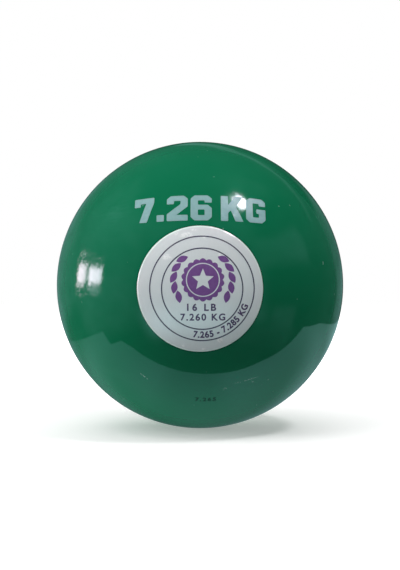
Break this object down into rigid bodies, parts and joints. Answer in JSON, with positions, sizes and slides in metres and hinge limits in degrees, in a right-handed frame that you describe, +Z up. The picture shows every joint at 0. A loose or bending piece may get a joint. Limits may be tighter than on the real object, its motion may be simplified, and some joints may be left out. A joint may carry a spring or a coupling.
{
  "type": "shot put ball",
  "caption": "Smooth painted metal ball for putting the shot, with a round film label on the front and a plugged bore at the back that holds its trim weight.",
  "frame": {"origin": "centre of the ball", "axes": "+Z up as it stands, -Y out of the front through the label, +Y out of the back along the plugged bore"},
  "size_m": [0.125, 0.1255, 0.125],
  "materials": {
    "green_paint": "gloss",
    "painted_filler": "gloss",
    "silver_film": "satin",
    "plain_steel": "satin",
    "cast_lead": "matte",
    "lead_sheet": "satin",
    "cork": "matte"
  },
  "bodies": {
    "root": {"iron_ball": "green_paint", "socket_filler": "painted_filler", "front_label": "silver_film", "threaded_plug": "plain_steel", "lead_charge": "cast_lead", "trim_disc_1": "lead_sheet", "trim_disc_2": "lead_sheet", "trim_disc_3": "lead_sheet", "cork_wad": "cork"}
  },
  "joints": []
}
